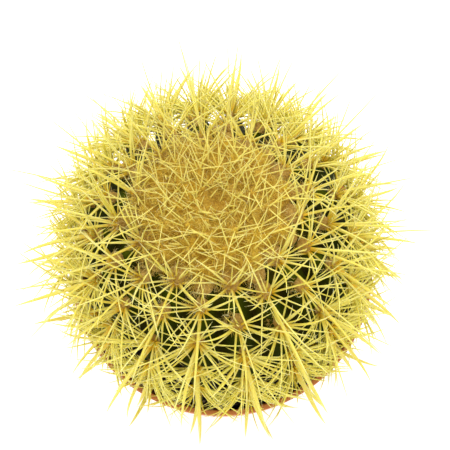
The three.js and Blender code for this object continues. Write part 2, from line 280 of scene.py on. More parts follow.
# sockets 2 and 3 are the pair for plain numbers, and output 1 is theirs
def drawNumber(tree, low, high, seed):
    drawn = addNode(tree, "FunctionNodeRandomValue", {2: low, 3: high, "Seed": seed}, data_type="FLOAT")
    return drawn.outputs[1]


def drawVector(tree, low, high, seed):
    return addNode(tree, "FunctionNodeRandomValue", {0: low, 1: high, "Seed": seed}, data_type="FLOAT_VECTOR")


def readAttribute(tree, name, kind="FLOAT"):
    named = addNode(tree, "GeometryNodeInputNamedAttribute", {"Name": name}, data_type=kind)
    return named.outputs["Attribute"]


def noiseAt(tree, scale, detail):
    place = addNode(tree, "GeometryNodeInputPosition")
    return addNode(tree, "ShaderNodeTexNoise", {"Vector": place, "Scale": scale, "Detail": detail})


def scatterPoints(tree, given, density):
    return addNode(tree, "GeometryNodeDistributePointsOnFaces", {
        "Mesh": given["Geometry"], "Density": density, "Seed": given["Seed"],
    }, distribute_method="RANDOM").outputs


def placeCopies(tree, points, copied, turn, size):
    return addNode(tree, "GeometryNodeInstanceOnPoints", {
        "Points": points, "Instance": copied, "Rotation": turn, "Scale": size,
    })


# gives each copy a shade that its material reads
def storeShade(tree, copies, value):
    return addNode(tree, "GeometryNodeStoreNamedAttribute", {
        "Geometry": copies, "Name": "shade", "Value": value,
    }, data_type="FLOAT", domain="INSTANCE")


def moveAlong(tree, geometry, direction, amount):
    offset = vectorMaths(tree, "MULTIPLY", direction, amount)
    return addNode(tree, "GeometryNodeSetPosition", {"Geometry": geometry, "Offset": offset})


# draws a ring of that many sides along a curve, as wide as width says at each place
def sweepRing(tree, curve, sides, flatness, width):
    ring = addNode(tree, "GeometryNodeCurvePrimitiveCircle", {"Resolution": sides, "Radius": 1.0})
    flat = addNode(tree, "ShaderNodeCombineXYZ", {"X": 1.0, "Y": flatness, "Z": 1.0})
    section = addNode(tree, "GeometryNodeTransform", {"Geometry": ring, "Scale": flat})
    return addNode(tree, "GeometryNodeCurveToMesh", {
        "Curve": curve, "Profile Curve": section, "Scale": width, "Fill Caps": True,
    })


def closeTree(tree, given, end, geometry):
    whole = addNode(tree, "GeometryNodeRealizeInstances", {"Geometry": geometry})
    coated = addNode(tree, "GeometryNodeSetMaterial", {"Geometry": whole, "Material": given["Material"]})
    tree.links.new(coated.outputs[0], end["Geometry"])
    return tree


# Materials

def mottleGroup():
    group, given, end = newTree("mottle", "ShaderNodeTree", {
        "Vector": "Vector", "Scale": "Float", "Detail": "Float", "Low": "Float", "High": "Float",
    }, {"Mask": "Float"})
    cloud = addNode(group, "ShaderNodeTexNoise", {
        "Vector": given["Vector"], "Scale": given["Scale"], "Detail": given["Detail"], "Roughness": 0.6,
    })
    spread = addNode(group, "ShaderNodeMapRange", {
        "Value": cloud, "From Min": given["Low"], "From Max": given["High"],
    })
    group.links.new(spread.outputs[0], end["Mask"])
    return group


mottle = mottleGroup()


def newMaterial(name):
    material = bpy.data.materials.new(name)
    material.use_nodes = True
    return material, material.node_tree


def fillShader(material, values):
    fillSockets(material.node_tree, material.node_tree.nodes["Principled BSDF"], values)
    return material


# one node serves all that read the place in a tree
def objectPlace(tree):
    return (tree.nodes.get("Texture Coordinate") or addNode(tree, "ShaderNodeTexCoord")).outputs["Object"]


def attributeValue(tree, name):
    return addNode(tree, "ShaderNodeAttribute", attribute_name=name).outputs["Fac"]


def addMottle(tree, scale, low=0.35, high=0.65, detail=4):
    return addNode(tree, "ShaderNodeGroup", {
        "Vector": objectPlace(tree), "Scale": scale, "Low": low, "High": high, "Detail": detail,
    }, node_tree=mottle).outputs["Mask"]


def mixColour(tree, mask, first, second):
    ends = [(*colour, 1) if isinstance(colour, tuple) else colour for colour in (first, second)]
    return addNode(tree, "ShaderNodeMix", {0: mask, 6: ends[0], 7: ends[1]}, data_type="RGBA").outputs[2]


def rampColour(tree, value, stops):
    ramp = addNode(tree, "ShaderNodeValToRGB", {"Fac": value})
    elements = ramp.color_ramp.elements
    while len(elements) < len(stops):
        elements.new(0.5)
    for element, (place, colour) in zip(elements, stops):
        element.position = place
        element.color = (*colour, 1)
    return ramp.outputs["Color"]


def rangeOf(tree, value, low, high):
    return addNode(tree, "ShaderNodeMapRange", {"Value": value, "To Min": low, "To Max": high})


# lays a colour over the tone, by up to that share where the mask is full
def tint(tree, tone, mask, share, colour):
    return mixColour(tree, rangeOf(tree, mask, 0, share), tone, colour)


def addBump(tree, height, strength, distance):
    values = {"Height": height, "Strength": strength, "Distance": distance * mm}
    return addNode(tree, "ShaderNodeBump", values)


# The pot

potValues = {
    "baseRadius": 49,
    "wall": 1.4,
    "floor": 2,
    "collarHeight": 15,
    "collarStep": 1.8,
    "draft": 1,  # how far the wall under the collar stands in from it, besides the step
    "hub": 8,  # radius of the plain middle of the floor
    "columns": 192,
    "drains": 8,
    "drainRadius": 4.5,
    "drainRing": 35,
    "drillDepth": 6,
    "drillSides": 40,
    "grooveWidth": 5,
    "grooveDepth": 1,
    "grooveOverrun": 4,  # how far past the foot's radius they are cut
    "footRounding": 0.8,
    "collarRounding": (0.9, 0.7),
    "lipRounding": 0.65,
    "insideRounding": 1.5,
    "plastic": (0.56, 0.196, 0.05),
    "palePlastic": (0.6, 0.215, 0.056),
    "specks": (0.44, 0.14, 0.035),
}


def potPlastic():
    material, tree = newMaterial("terracotta_plastic")
    clouds = addMottle(tree, 60)
    specks = addMottle(tree, 1500, 0.3, 0.7)
    tone = mixColour(tree, clouds, potValues["plastic"], potValues["palePlastic"])
    return fillShader(material, {
        "Base Color": tint(tree, tone, specks, 0.25, potValues["specks"]),
        "Roughness": rangeOf(tree, clouds, 0.36, 0.52),
        "Specular IOR Level": 0.28,
        "Normal": addBump(tree, specks, 0.25, 0.12),
    })


# rounds an outline's corners, each given as a radius, a height and its rounding, with five points
def roundCorners(outline):
    corners = np.array(outline, float)[:, :2]
    rounded = []
    for i, (radius, height, rounding) in enumerate(outline):
        if rounding == 0:
            rounded.append((radius, height))
            continue
        here = corners[i]
        back, ahead = corners[i - 1] - here, corners[i + 1] - here
        a = here + back * rounding / np.linalg.norm(back)
        b = here + ahead * rounding / np.linalg.norm(ahead)
        for t in (0, 0.25, 0.5, 0.75, 1):
            rounded.append(tuple((1 - t) ** 2 * a + 2 * t * (1 - t) * here + t ** 2 * b))
    return rounded


# round holes through the floor and a groove from each to the edge of the underside
def drainCutters():
    v = potValues
    inner, outer = v["drainRing"], v["baseRadius"] + v["grooveOverrun"]
    cutters = []
    for i in range(v["drains"]):
        turn = 2 * math.pi * (i + 0.5) / v["drains"]
        hole, middle = [
            (radius * mm * math.cos(turn), radius * mm * math.sin(turn), 0)
            for radius in (inner, (inner + outer) / 2)]
        bpy.ops.mesh.primitive_cylinder_add(
            vertices=v["drillSides"], radius=v["drainRadius"] * mm, depth=v["drillDepth"] * mm, location=hole)
        cutters.append(bpy.context.object)
        bpy.ops.mesh.primitive_cube_add(size=1, location=middle, rotation=(0, 0, turn))
        bpy.context.object.scale = ((outer - inner) * mm, v["grooveWidth"] * mm, 2 * v["grooveDepth"] * mm)
        cutters.append(bpy.context.object)
    return cutters


def makePot():
    v = potValues
    base, wall, floor, hub = v["baseRadius"], v["wall"], v["floor"], v["hub"]
    collar = rimHeight - v["collarHeight"]
    neck = rimRadius - v["collarStep"] - v["draft"]
    foot, lip, inside = v["footRounding"], v["lipRounding"], v["insideRounding"]
    under, over = v["collarRounding"]
    # out along the underside, up the outside, over the rim and down the inside
    outline = [
        (hub, 0, 0), (base - 0.6, 0, foot), (base + 0.2, 2.2, foot),
        (neck, collar - 2, under), (rimRadius - 0.6, collar - 0.2, over),
        (rimRadius, rimHeight, lip), (rimRadius - 0.9 - wall, rimHeight, lip),
        (neck - wall, collar - 3, inside), (base - wall, floor, inside), (hub, floor, 0),
    ]
    turns = [2 * math.pi * i / v["columns"] for i in range(v["columns"])]
    rings = []
    for radius, height in roundCorners(outline):
        rings.append([(radius * math.cos(turn), radius * math.sin(turn), height) for turn in turns])
    blank = ringsMesh("pot_blank", (0, 0, 0), rings, (0, 0, floor))
    cutters = drainCutters()
    for cutter in cutters:
        cut = blank.modifiers.new("drain", "BOOLEAN")
        cut.object = cutter
        cut.operation = "DIFFERENCE"
        cut.solver = "EXACT"
    pot = keepShown("pot_shell", blank)
    for spent in [blank, *cutters]:
        dropObject(spent)
    pot.data.materials.append(potPlastic())
    dress(pot, "pot")


# The soil

soilValues = {
    "clearance": 1.6,  # between its upper edge and the pot, with the draft of the pot's wall in it
    "underside": 2.4,
    "columns": 160,
    "topRows": 34,
    "rowWidth": 0.8,
    "crumb": 0.9,  # how far the top rises and falls
    "grainRows": (1, 24),  # the rows of the top that grains lie on
    "grainsPerSquareMetre": 640000.0,
    "grainSmall": 0.35,
    "grainLarge": 1.5,
    "grainRoughness": 0.8,
    "seed": 5,
    "dark": (0.012, 0.008, 0.006),
    "light": (0.055, 0.036, 0.024),
    "hollows": (0.01, 0.007, 0.005),
    "grains": [  # from peat to bark and a few pale bits of grit
        (0, (0.012, 0.008, 0.006)), (0.45, (0.04, 0.025, 0.016)), (0.8, (0.10, 0.062, 0.036)),
        (0.93, (0.2, 0.16, 0.12)), (1, (0.42, 0.37, 0.3)),
    ],
}


def soilMaterial():
    material, tree = newMaterial("potting_soil")
    return fillShader(material, {
        "Base Color": mixColour(tree, addMottle(tree, 400), soilValues["dark"], soilValues["light"]),
        "Roughness": 0.95,
        "Normal": addBump(tree, addMottle(tree, 900, 0.2, 0.8), 0.8, 0.6),
    })


def grainMaterial():
    material, tree = newMaterial("soil_grain")
    tone = rampColour(tree, attributeValue(tree, "shade"), soilValues["grains"])
    return fillShader(material, {
        "Base Color": tint(tree, tone, addMottle(tree, 1400), 0.5, soilValues["hollows"]),
        "Roughness": 0.9,
        "Normal": addBump(tree, addMottle(tree, 2500, 0.2, 0.8), 0.5, 0.25),
    })


# makes the plug and returns the rows of its top that grains lie on
def makeSoil():
    v = soilValues
    outer = rimRadius - potValues["collarStep"] - potValues["wall"] - v["clearance"]
    base = potValues["baseRadius"] - potValues["wall"]

    def ring(radius, heightAt):
        spots = [onCircle(radius, i * 360 / v["columns"]) for i in range(v["columns"])]
        return [(x, y, heightAt(x, y)) for x, y in spots]

    def crumbs(x, y):
        rough = roughAt(x, y, 3.3, 0.35, 0.6, 2.2)
        return soilLevel + 0.25 + rough * v["crumb"] - 0.3 * abs(rough)

    side = [
        ring(base - 3, lambda x, y: v["underside"]), ring(base - 0.5, lambda x, y: 4),
        ring(outer, lambda x, y: 90), ring(outer, lambda x, y: crumbs(x, y) - 0.6),
    ]
    top = [ring(outer - 0.5 - row * v["rowWidth"], crumbs) for row in range(v["topRows"])]
    soil = ringsMesh("soil_mass", (0, 0, v["underside"]), side + top, (0, 0, soilLevel))
    soil.data.materials.append(soilMaterial())
    dress(soil, "soil")
    return top[slice(*v["grainRows"])]


def grainTree():
    tree, given, end = newGeometryTree("scatter_grains", {
        "Density": "Float", "Smallest": "Float", "Largest": "Float", "Seed": "Int", "Material": "Material",
    })
    grain = addNode(tree, "GeometryNodeMeshIcoSphere", {"Radius": 1.0, "Subdivisions": 1})
    size = addNode(tree, "ShaderNodeMapRange", {
        "Value": maths(tree, "POWER", drawNumber(tree, 0.0, 1.0, 11), 2.6),  # few are large
        "To Min": given["Smallest"], "To Max": given["Largest"],
    })
    squeeze = drawVector(tree, (0.55, 0.5, 0.4), (1.0, 0.9, 0.8), 12)
    turn = drawVector(tree, (0, 0, 0), (6.283, 6.283, 6.283), 13)
    spots = scatterPoints(tree, given, given["Density"])["Points"]
    placed = placeCopies(tree, spots, grain, turn, vectorMaths(tree, "MULTIPLY", squeeze, size))
    shaded = storeShade(tree, placed, drawNumber(tree, 0.0, 1.0, 14))
    whole = addNode(tree, "GeometryNodeRealizeInstances", {"Geometry": shaded})
    shift = vectorMaths(tree, "SUBTRACT", noiseAt(tree, 900.0, 2.0).outputs["Color"], (0.5, 0.5, 0.5))
    return closeTree(tree, given, end, moveAlong(tree, whole, shift, [soilValues["grainRoughness"] * mm] * 3))


def makeGrains(rows):
    v = soilValues
    ground = makeMesh("ground", [point for row in rows for point in row], bandFaces(len(rows), len(rows[0])))
    growPiece("soil_grains", ground, grainTree(), "soil", {
        "Density": v["grainsPerSquareMetre"], "Seed": v["seed"], "Material": grainMaterial(),
        "Smallest": v["grainSmall"] * mm, "Largest": v["grainLarge"] * mm,
    })
    dropObject(ground)


# The body

skinValues = {
    "columnsPerRib": 16,
    "rows": 130,
    "crestRoundness": 0.24,
    "swell": 0.7,  # the crest rises between areoles
    "unevenness": 0.35,
    "root": [(3, -24), (7, -6), (11, 1)],  # radius and height of the root's rings from the foot of the globe
    "rootLength": 34,
    "corkFrom": (18, 34),  # latitudes below the widest part between which the skin turns corky
    "corkShare": 0.8,
    # crest to groove: lighter on the crest as the skin is, then darker and warmer into the groove, where the
    # darkening is painted shade
    "fromCrest": [
        (0, (0.08, 0.1, 0.004)), (0.18, (0.036, 0.056, 0.002)), (0.6, (0.024, 0.032, 0.001)),
        (1, (0.022, 0.014, 0.001)),
    ],
    "bloom": (0.075, 0.08, 0.008),
    "specks": (0.018, 0.022, 0.001),
    "cork": (0.1, 0.07, 0.015),
}

areoleRule = {
    "spacing": 14.2,  # degrees of latitude along a rib
    "highest": (53, 60.4),  # on even and on odd ribs
    "lowest": -14,  # lower ones bear fine spines only
    "lastRow": -27,
    "stray": 0.9,
    "padRadius": 2.6,
    "padLift": 0.3,
}


def skinMaterial():
    material, tree = newMaterial("cactus_skin")
    v = skinValues
    clouds = addMottle(tree, 110)
    fine = addMottle(tree, 900, 0.3, 0.7)
    # the skin's tone from crest to groove, with painted shade darkening the grooves
    tone = rampColour(tree, attributeValue(tree, "offCrest"), v["fromCrest"])
    tone = tint(tree, tone, clouds, 0.3, v["bloom"])
    tone = tint(tree, tone, fine, 0.2, v["specks"])
    pores = addNode(tree, "ShaderNodeTexVoronoi", {"Vector": objectPlace(tree), "Scale": 2200})
    height = maths(tree, "MULTIPLY_ADD", pores.outputs["Distance"], 0.5, fine)
    return fillShader(material, {
        "Base Color": mixColour(tree, attributeValue(tree, "age"), tone, v["cork"]),
        "Roughness": rangeOf(tree, clouds, 0.44, 0.62),
        "Specular IOR Level": 0.01,
        "Normal": addBump(tree, height, 0.2, 0.25),
    })


# the rib, latitude and seed of each areole between two latitudes
def areolePlaces(below, above):
    places = []
    for rib in range(plant["ribs"]):
        for k in range(7):
            seed = rib * 16 + k
            latitude = areoleRule["highest"][rib % 2] - k * areoleRule["spacing"]
            if above < latitude < below:
                places.append((rib, latitude + jitter(seed, areoleRule["stray"]), seed))
    return places


def areoleFrame(rib, latitude):
    radius, height = envelope(latitude)
    steep = math.atan2(sinDeg(latitude) / plant["halfHeight"], cosDeg(latitude) / plant["radius"])
    outward = np.array([*onCircle(1, ribAngle(rib)), 0])
    upward = np.array([0, 0, 1.0])
    normal = outward * math.cos(steep) + upward * math.sin(steep)
    crownward = upward * math.cos(steep) - outward * math.sin(steep)
    centre = outward * radius + upward * height + normal * areoleRule["padLift"]
    return crownward, np.cross(normal, crownward), normal, centre


# sinks the grooves, lets the crests swell between areoles and makes the skin a little uneven
def ribTree():
    tree, given, end = newGeometryTree("carve_ribs", {
        "Crest Roundness": "Float", "Swell": "Float", "Unevenness": "Float", "Material": "Material",
    })
    offCrest = readAttribute(tree, "offCrest")
    roundness = given["Crest Roundness"]
    # a rounded crest that runs into straight flanks and a sharp groove
    curved, full = [
        maths(tree, "SQRT", maths(tree, "MULTIPLY_ADD", roundness, roundness, square))
        for square in (times(tree, offCrest, offCrest), 1.0)]
    share = maths(tree, "DIVIDE", minus(tree, curved, roundness), minus(tree, full, roundness))
    sunk = times(tree, share, readAttribute(tree, "depth"))
    nearCrest = minus(tree, 1.0, maths(tree, "MINIMUM", 1.0, times(tree, offCrest, 2.2)))
    swelling = times(tree, times(tree, readAttribute(tree, "swell"), nearCrest), given["Swell"])
    uneven = times(tree, minus(tree, noiseAt(tree, 90.0, 3.0), 0.5), given["Unevenness"])
    total = maths(tree, "ADD", minus(tree, swelling, sunk), uneven)
    outward = readAttribute(tree, "outward", "FLOAT_VECTOR")
    return closeTree(tree, given, end, moveAlong(tree, given["Geometry"], outward, total))


def makeSkin():
    v = skinValues
    places = [i / v["columnsPerRib"] for i in range(plant["ribs"] * v["columnsPerRib"])]
    foot = plantCentre - plant["halfHeight"]
    # of each point: how far it is off the crest, the groove's depth, the way out, the swell and the age
    plain = (1, 0, (0, 0, 0), 0, 1)
    rings, notes = [], [plain]
    for radius, height in v["root"]:
        rings.append([(*onCircle(radius, ribAngle(rib)), foot + height) for rib in places])
        notes += [plain] * len(places)
    lowest = plant["grooveEnd"][0]
    for row in range(v["rows"]):
        latitude = lowest + (90 - lowest) * (row / v["rows"])
        radius, height = envelope(latitude)
        depth = grooveDepth(latitude) * mm
        age = smoothStep(-latitude, *v["corkFrom"]) * v["corkShare"]
        rings.append([(*onCircle(radius, ribAngle(rib)), height) for rib in places])
        for rib in places:
            phase = (areoleRule["highest"][round(rib) % plant["ribs"] % 2] - latitude) / areoleRule["spacing"]
            outward = (*onCircle(1, ribAngle(rib)), 0)
            notes.append((2 * abs(rib - round(rib)), depth, outward, -cosDeg(360 * phase), age))
    notes.append((1, 0, (0, 0, 0), 0, 0))
    globe = ringsMesh("globe", (0, 0, foot - v["rootLength"]), rings, (0, 0, envelope(90)[1]))
    setAttributes(globe, **dict(zip(("offCrest", "depth", "outward", "swell", "age"), zip(*notes))))
    growPiece("cactus_skin", globe, ribTree(), "cactus_body", {
        "Crest Roundness": v["crestRoundness"], "Swell": v["swell"] * 0.5 * mm,
        "Unevenness": v["unevenness"] * mm, "Material": skinMaterial(),
    })
    dropObject(globe)


# The form of the wool

woolValues = {
    "thickness": 4.4,
    "edgeThinning": 0.45,
    "mound": 2.2,
    "moundFrom": (2, 16),  # distances from the middle between which the mounds grow to full height
    "moundRing": 26,  # where a ring of mounds stands on the even ribs
    "moundSpacing": 12.6,
    "edge": 28,
    "edgeWave": 2,
    "gap": 0.35,
    "lift": 0.5,  # with the gap, how high the edge of the wool stands over the skin
    "crownFibres": {"count": 9500, "length": 4.2, "width": 0.11, "lean": 62, "seed": 3},
    "areoleFibres": {"count": 13500, "length": 3.3, "width": 0.15, "lean": 60, "seed": 4},
    "feltGrid": (240, 62),  # columns and rows
    "feltRoughness": 1.2,
    "edgeRoughness": 0.9,
    "crownSpines": 130,
    "singleLengths": (7, 8, 14),  # in the middle, how much more at the edge, and what the longest add there
    "singleLeans": (12, 50),  # the least, and how much more it can be
    "singleRoom": 0.8,  # share of the room that other spines look for
    "spinesPerTuft": 7,
    "tuftLengths": (6, 10.5),  # in the middle, and how much more at the edge
    "tuftLeans": (14, 10, 48),  # the least in the middle, how much more at the edge, and how much it strays
    # half the length, width and height of an old pad, and what a young and a crown areole add to each
    "padSizes": [(1.8, 1.2, 1.9), (1.4, 1.2, 1.4), (1.1, 1.7, 0)],
    "padRoughness": 2.4,
    "patches": (0.62, 0.42, 0.12),
    # the dark crown tone also serves as the painted shade in the creases of the crown's felt
    "crownTones": [(0.76, 0.48, 0.035), (0.92, 0.67, 0.08), (0.34, 0.16, 0.012)],  # low, high and dark
    "areoleTones": [(0.66, 0.42, 0.09), (0.84, 0.6, 0.17), (0.3, 0.14, 0.02)],
    "crownStrands": [
        (0, (0.44, 0.22, 0.015)), (0.4, (0.84, 0.56, 0.055)),
        (0.75, (0.96, 0.73, 0.1)), (1, (0.98, 0.87, 0.26)),
    ],
    "areoleStrands": [
        (0, (0.3, 0.15, 0.025)), (0.35, (0.62, 0.4, 0.08)),
        (0.7, (0.86, 0.66, 0.18)), (1, (0.95, 0.84, 0.42)),
    ],
}


# the wool reaches further out on every second rib, between the highest areoles of the others
def woolEdge(x, y):
    return woolValues["edge"] + woolValues["edgeWave"] * cosDeg(180 * ribNumber(x, y))


# 1 on top of each mound of the wool and 0 between them
def moundAt(x, y):
    radius = math.hypot(x, y)
    rings = cosDeg(360 * (radius - woolValues["moundRing"]) / woolValues["moundSpacing"])
    return 0.5 * (1 + rings * cosDeg(180 * ribNumber(x, y))) * smoothStep(radius, *woolValues["moundFrom"])


def woolTop(x, y):
    v = woolValues
    share = min(1, math.hypot(x, y) / woolEdge(x, y))
    felt = v["thickness"] * (1 - v["edgeThinning"] * share ** 2)
    thick = (felt + v["mound"] * moundAt(x, y)) * math.sqrt(1 - share ** 10)
    return crownHeight(x, y) + v["gap"] + v["lift"] + thick


# Spines

spineValues = {
    "longest": 27.4,
    "upperLonger": 0.07,  # for each degree of latitude
    "sideLonger": 0.05,  # share that those on the left and right are longer than the mean by
    "youngShorter": 0.25,
    "youngFrom": (54, 59),  # latitudes over which they get shorter by that share
    "stoutSpread": 0.12,  # share that lengths differ by
    "otherSpread": 0.22,
    "rootDepth": 1.2,  # how far the root reaches into the felt
    "spacing": 2.4,  # room that a spine looks for beside the others
    "clearance": 1.5,  # from the outside of the rim, from its top and from the wool
    "wallRoom": 4.5,  # kept free inside the rim
    "soilRoom": 2,
    "tries": 14,
    "stoutWidth": 0.98,  # this and the next ones are half the width at the root
    "sideWidth": 0.58,
    "thinWidth": 0.46,
    "radialWidth": 0.44,
    "crossWidth": 0.5,
    "singleWidth": 0.39,
    "tuftWidth": 0.3,
    "finerFrom": (34, 54),  # latitudes between which they get finer towards the crown
    "stoutFiner": 0.38,
    "sideFiner": 0.2,
    "lowTo": 14,  # up to this latitude they stand out from the areole
    "midFrom": 26,  # from here to the crown some stand well out past the rest
    "fanTo": 34,  # up to here they lie in dense fans
    "crownFrom": 42,  # and lie every way from this one up
    # root, middle and tip, then roughness, specular level and subsurface weight
    "spine_yellow": ((0.78, 0.48, 0.015), (0.79, 0.7, 0.15), (0.86, 0.8, 0.38), 0.38, 0.2, 0.5),
    "spine_pale": ((0.86, 0.58, 0.03), (0.94, 0.86, 0.2), (0.95, 0.89, 0.32), 0.6, 0.03, 0.3),
    "spine_young": ((0.88, 0.6, 0.05), (0.94, 0.86, 0.26), (0.96, 0.9, 0.38), 0.6, 0.03, 0.3),
    "spine_straw": ((0.9, 0.64, 0.06), (0.97, 0.86, 0.24), (0.98, 0.93, 0.38), 0.6, 0.03, 0.3),
    "ochre": (0.8, 0.54, 0.05),
    "specks": (0.66, 0.48, 0.05),
}

# how each kind grows: the number that sets its draws apart, how far it bows, the degrees that it strays by
# and where on the pad it has its root
spineHabits = {
    "main": {"draws": 0, "bow": 0.06, "stray": 15, "rootAt": 0.62},
    "low": {"draws": 0, "bow": 0.03, "stray": 15, "rootAt": 0.62},
    "fan": {"draws": 40000, "bow": 0.02, "stray": 20, "rootAt": 0.8},
    "crown": {"draws": 40000, "bow": 0.02, "stray": 30, "rootAt": 1.2},
    "crossing": {"draws": 90000, "bow": 0.03, "stray": 30, "rootAt": 0.62},
}


# how many stretches each kind is drawn with, and how far it sways as a share of its length
spineShapes = {
    "stout": (8, 0.045),
    "side": (6, 0.03),
    "low": (5, 0.025),
    "fine": (5, 0.02),
    "crossing": (6, 0.03),
    "young": (4, 0.006),
}


# the same spines to the left and to the right
def bothSides(*spines):
    return [(side * turn, lean, share) for turn, lean, share in spines for side in (1, -1)]


# turn about the outward normal from the crown's side, lean from the normal, and share of the longest
mainPlan = [(180, 52, 1.0), *bothSides((102, 60, 0.84)), (0, 42, 0.7)]
mainPlan += bothSides((48, 50, 0.66), (146, 68, 0.6))
radialPlan = bothSides((168, 80, 0.5), (124, 82, 0.55), (78, 80, 0.52), (24, 76, 0.45), (126, 58, 0.6))
fanPlan = radialPlan + bothSides((96, 74, 0.62), (112, 66, 0.66), (50, 70, 0.56))
fanPlan += bothSides((88, 50, 0.62), (66, 60, 0.56))
# thin ones round the crown that lie every way
crownPlan = [
    (80, 66, 0.9), (-84, 66, 0.9), (120, 74, 0.62), (-118, 72, 0.62), (4, 20, 0.9), (40, 36, 0.96),
    (-42, 34, 0.94),
]
# long thin ones above the low rows, which reach over the neighbours and out past the rest
crossPlan = [(72, 54, 1.0), (-76, 56, 1.0), (30, 50, 0.9)]
midCrossPlan = crossPlan + [(174, 18, 1.0), (132, 40, 0.94), (-128, 42, 0.94), (-24, 46, 0.94)]
topCrossPlan = [(174, 18, 1.18)]
# those low on the plant, where the areoles face out; below its widest part only the first five
lowPlan = bothSides((94, 80, 0.84), (108, 70, 0.86), (72, 72, 0.82), (88, 56, 0.78))
lowPlan += [(126, 60, 0.72), (-12, 58, 0.6)]


def spineMaterial(name):
    root, middle, tip, roughness, specular, glow = spineValues[name]
    material, tree = newMaterial(name)
    stops = [(0, root), (0.03, root), (0.15, middle), (0.62, middle), (1, tip)]
    tone = rampColour(tree, attributeValue(tree, "along"), stops)
    ochre = mixColour(tree, 0.5, tone, spineValues["ochre"])
    tone = tint(tree, tone, attributeValue(tree, "shade"), 0.5, ochre)
    fine = addMottle(tree, 1600, 0.3, 0.7)
    rings = maths(tree, "SINE", times(tree, attributeValue(tree, "reach"), 9000))
    return fillShader(material, {
        "Base Color": tint(tree, tone, fine, 0.18, spineValues["specks"]),
        "Roughness": roughness,
        "Specular IOR Level": specular,
        "Subsurface Weight": glow,
        "Subsurface Scale": 0.5 * mm,
        "Subsurface Radius": (2.4, 2, 0.5),
        "Normal": addBump(tree, maths(tree, "MULTIPLY_ADD", rings, 0.4, fine), 0.15, 0.1),
    })


# those on the left and right are a little longer than those in front and behind, and the young ones shorter
def longestSpine(rib, latitude):
    v = spineValues
    young = 1 - v["youngShorter"] * smoothStep(latitude, *v["youngFrom"])
    side = 1 + v["sideLonger"] * cosDeg(2 * ribAngle(rib))
    return (v["longest"] + v["upperLonger"] * latitude) * young * side


# whether a point keeps off the pot's wall, the soil and the wool
def isClear(point):
    v = spineValues
    off = v["clearance"]
    x, y, height = point
    fromAxis = math.hypot(x + asideAt(height), y)
    inWall = rimRadius - v["wallRoom"] < fromAxis < rimRadius + off and height < rimHeight + off
    inSoil = fromAxis < rimRadius and height < soilLevel + v["soilRoom"]
    inWool = math.hypot(x, y) < woolEdge(x, y) + off and height < woolTop(x, y) + off
    return not (inWall or inSoil or inWool)


def courseIsClear(course):
    root, middle, tip = course
    halves = (root, middle), (middle, tip)
    return all(isClear(a + (b - a) * t) for a, b in halves for t in (0.25, 0.5, 0.75, 1))


# the least distance from a straight stretch to many others, given as two arrays of their ends
def leastDistance(start, end, starts, ends):
    own, others, gap = end - start, ends - starts, start - starts
    ownSquare = own @ own
    otherSquares = np.einsum("ij,ij->i", others, others)
    gapAlongOthers = np.einsum("ij,ij->i", others, gap)
    gapAlongOwn = gap @ own
    shared = others @ own
    spread = ownSquare * otherSquares - shared * shared
    meeting = (shared * gapAlongOthers - gapAlongOwn * otherSquares) / np.maximum(spread, 1e-9)
    onOwn = np.clip(np.where(spread > 1e-9, meeting, 0), 0, 1)
    onOthers = (shared * onOwn + gapAlongOthers) / otherSquares
    atStart = np.clip(-gapAlongOwn / ownSquare, 0, 1)
    atEnd = np.clip((shared - gapAlongOwn) / ownSquare, 0, 1)
    onOwn = np.where(onOthers < 0, atStart, np.where(onOthers > 1, atEnd, onOwn))
    apart = gap + onOwn[:, None] * own - np.clip(onOthers, 0, 1)[:, None] * others
    return math.sqrt(np.einsum("ij,ij->i", apart, apart).min())


# the stretches of the spines that already stand
class SpineRoom:
    def __init__(self, starts=np.zeros((0, 3)), ends=np.zeros((0, 3))):
        self.starts, self.ends = starts, ends

    def add(self, courses):
        for root, middle, tip in courses:
            self.starts = np.vstack([self.starts, root, middle])
            self.ends = np.vstack([self.ends, middle, tip])

    def around(self, course):
        if not len(self.starts):
            return math.inf
        root, middle, tip = course
        return min(leastDistance(root, middle, self.starts, self.ends),
                   leastDistance(middle, tip, self.starts, self.ends))


# the first course with room enough, or else the one with the most
def roomiest(courseOfTry, room):
    found, most = None, 0
    for tried in range(spineValues["tries"]):
        course = courseOfTry(tried)
        if not courseIsClear(course):
            continue
        space = room.around(course)
        if space > most:
            found, most = course, space
        if most > spineValues["spacing"]:
            break
    return found


# the courses, shares and draw numbers of an areole's spines
def growSpines(areole, plan, room, kind, shrink=1):
    v, habit = spineValues, spineHabits[kind]
    rib, latitude, seed = areole
    crownward, sideways, normal, centre = areoleFrame(rib, latitude)
    longest = longestSpine(rib, latitude) * (1 + jitter(seed + 1000, 0.06)) * shrink
    upwards = np.array([0, 0, 1.0])

    def directionOf(turned, leaned):
        flat = crownward * cosDeg(turned) + sideways * sinDeg(turned)
        return flat * sinDeg(leaned) + normal * cosDeg(leaned)

    grown = []
    for n, (turn, lean, share) in enumerate(plan):
        key = seed * 10 + n + habit["draws"]
        root = centre + directionOf(turn, min(lean, 64)) * areoleRule["padRadius"] * habit["rootAt"]
        length = longest * share * (1 + jitter(key + 6017, v["stoutSpread" if share == 1 else "otherSpread"]))

        # each try strays a little further and stands up a little more
        def courseOfTry(tried):
            turned = turn + jitter(key + 2000 + 3000 * tried, habit["stray"] + 2 * tried)
            leaned = lean + jitter(key + 2500 + 3000 * tried, 10 + 1.5 * tried)
            direction = directionOf(turned, leaned) + upwards * 0.08 * tried
            way, bend = direction / np.linalg.norm(direction), habit["bow"]
            middle = root + way * length * 0.5 + normal * length * bend
            return root, middle, root + way * length - normal * length * bend * 0.67

        course = roomiest(courseOfTry, room)
        if course is not None:
            grown.append((course, share, key))
    return grown


